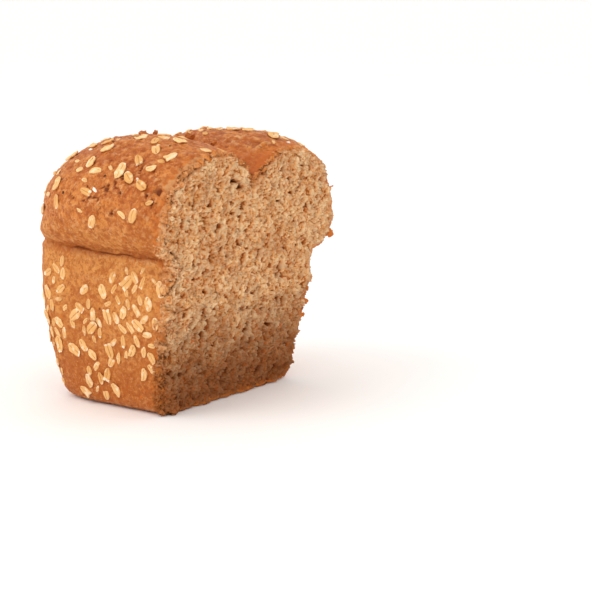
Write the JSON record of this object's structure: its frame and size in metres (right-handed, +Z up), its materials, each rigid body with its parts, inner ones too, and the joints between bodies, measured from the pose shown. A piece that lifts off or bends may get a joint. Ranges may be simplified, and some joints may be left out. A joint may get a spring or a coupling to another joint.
{
  "type": "tin loaf",
  "caption": "Split-top wholemeal tin loaf cut across with a knife, its crown hanging over the tin line, with oat flakes baked onto the crust.",
  "frame": {"origin": "on the surface the loaf stands on, under the middle of its box", "axes": "+Z up, +X along the loaf towards the cut face, -Y towards the side whose crown hangs higher"},
  "size_m": [0.108, 0.1496, 0.1387],
  "materials": {
    "loaf": "baked golden-brown crust, satin on the crown, with an open light-brown crumb on the cut face",
    "oat_flake": "matt toasted oat"
  },
  "bodies": {
    "root": {"loaf": "loaf", "oat_flake_01": "oat_flake", "oat_flake_02": "oat_flake", "oat_flake_03": "oat_flake", "oat_flake_04": "oat_flake", "oat_flake_05": "oat_flake", "oat_flake_06": "oat_flake", "oat_flake_07": "oat_flake", "oat_flake_08": "oat_flake", "oat_flake_09": "oat_flake", "oat_flake_10": "oat_flake", "oat_flake_11": "oat_flake", "oat_flake_12": "oat_flake", "oat_flake_13": "oat_flake", "oat_flake_14": "oat_flake", "oat_flake_15": "oat_flake", "oat_flake_16": "oat_flake", "oat_flake_17": "oat_flake", "oat_flake_18": "oat_flake", "oat_flake_19": "oat_flake", "oat_flake_20": "oat_flake", "oat_flake_21": "oat_flake", "oat_flake_22": "oat_flake", "oat_flake_23": "oat_flake", "oat_flake_24": "oat_flake", "oat_flake_25": "oat_flake", "oat_flake_26": "oat_flake", "oat_flake_27": "oat_flake", "oat_flake_28": "oat_flake", "oat_flake_29": "oat_flake", "oat_flake_30": "oat_flake", "oat_flake_31": "oat_flake", "oat_flake_32": "oat_flake", "oat_flake_33": "oat_flake", "oat_flake_34": "oat_flake", "oat_flake_35": "oat_flake", "oat_flake_36": "oat_flake", "oat_flake_37": "oat_flake", "oat_flake_38": "oat_flake", "oat_flake_39": "oat_flake", "oat_flake_40": "oat_flake", "oat_flake_41": "oat_flake", "oat_flake_42": "oat_flake", "oat_flake_43": "oat_flake", "oat_flake_44": "oat_flake", "oat_flake_45": "oat_flake", "oat_flake_46": "oat_flake", "oat_flake_47": "oat_flake", "oat_flake_48": "oat_flake", "oat_flake_49": "oat_flake", "oat_flake_50": "oat_flake", "oat_flake_51": "oat_flake", "oat_flake_52": "oat_flake", "oat_flake_53": "oat_flake", "oat_flake_54": "oat_flake", "oat_flake_55": "oat_flake", "oat_flake_56": "oat_flake", "oat_flake_57": "oat_flake", "oat_flake_58": "oat_flake", "oat_flake_59": "oat_flake"}
  },
  "joints": []
}
